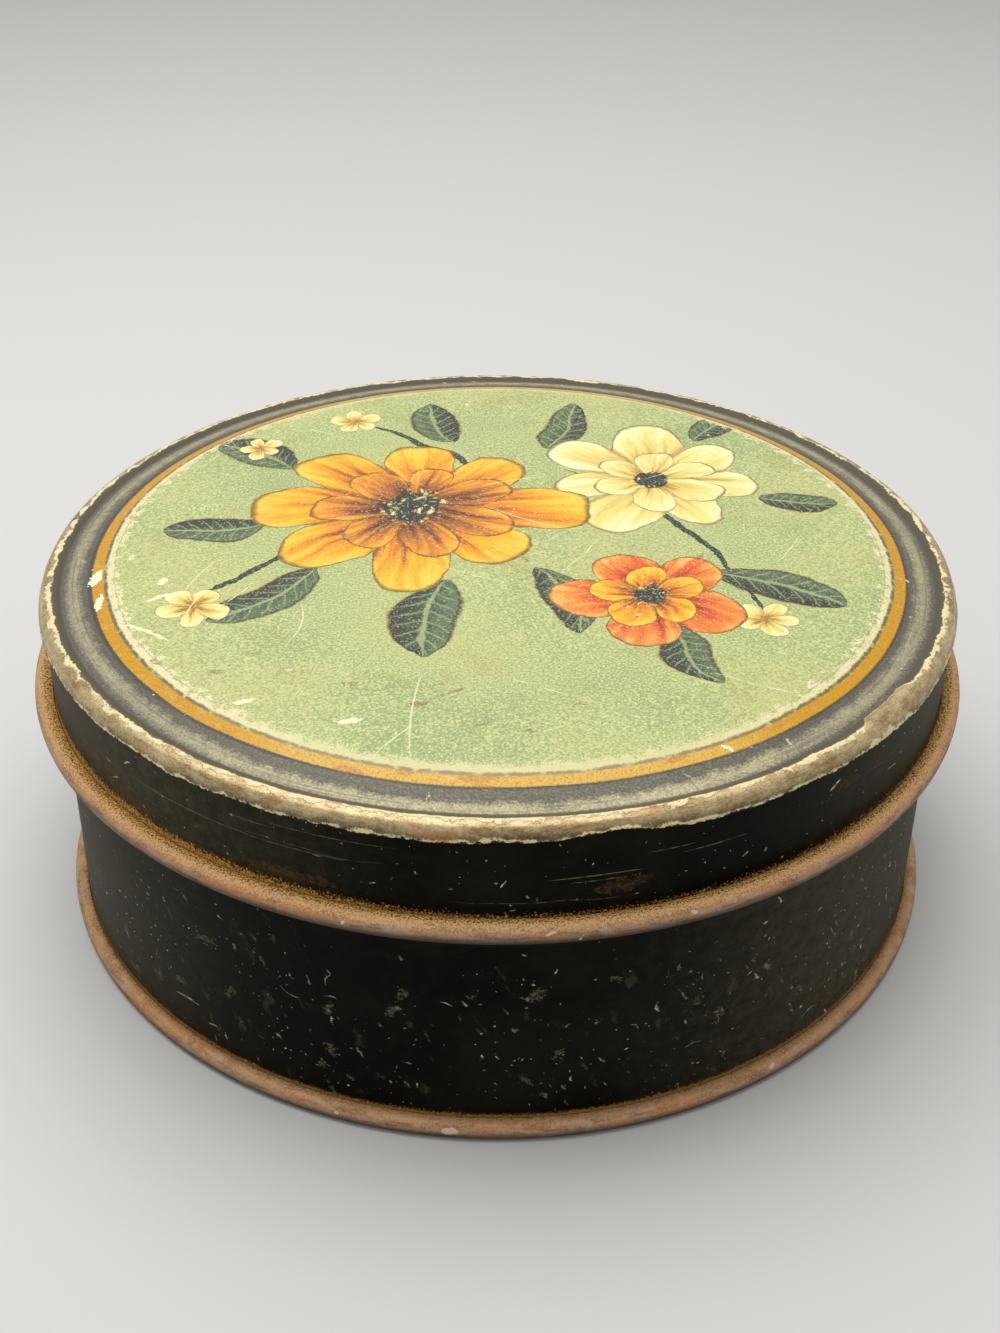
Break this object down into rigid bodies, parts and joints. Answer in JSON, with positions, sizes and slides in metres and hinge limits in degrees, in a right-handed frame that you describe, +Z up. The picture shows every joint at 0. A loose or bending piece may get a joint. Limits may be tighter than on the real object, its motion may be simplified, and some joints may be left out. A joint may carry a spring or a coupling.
{
  "type": "round slip-lid tin",
  "caption": "Low round tinplate box with a slip-on lid: black enamelled sides, curled seams and a printed, slightly crowned lid panel inside a sloping border.",
  "frame": {"origin": "on the tin's axis, at the table that it stands on", "axes": "+Z up along the tin's axis and the way the lid lifts; -Y towards the viewer; the strips' side laps are at the back, on +Y"},
  "size_m": [0.096, 0.096, 0.0373],
  "materials": {
    "body_enamel": "worn glossy black enamel",
    "base_metal": "bare tinplate with a brown bloom of rust",
    "band_enamel": "worn glossy black enamel, bare metal on the curl",
    "lid_print": "satin lithographed print with a worn bare bead"
  },
  "bodies": {
    "body": {"body_wall": "body_enamel", "base_plate": "base_metal"},
    "lid": {"lid_band": "band_enamel", "lid_top": "lid_print"}
  },
  "joints": [
    {"name": "lid_lift", "type": "slide", "parent": "body", "child": "lid", "axis": [0, 0, 1], "range_m": [0, 0.07]}
  ]
}
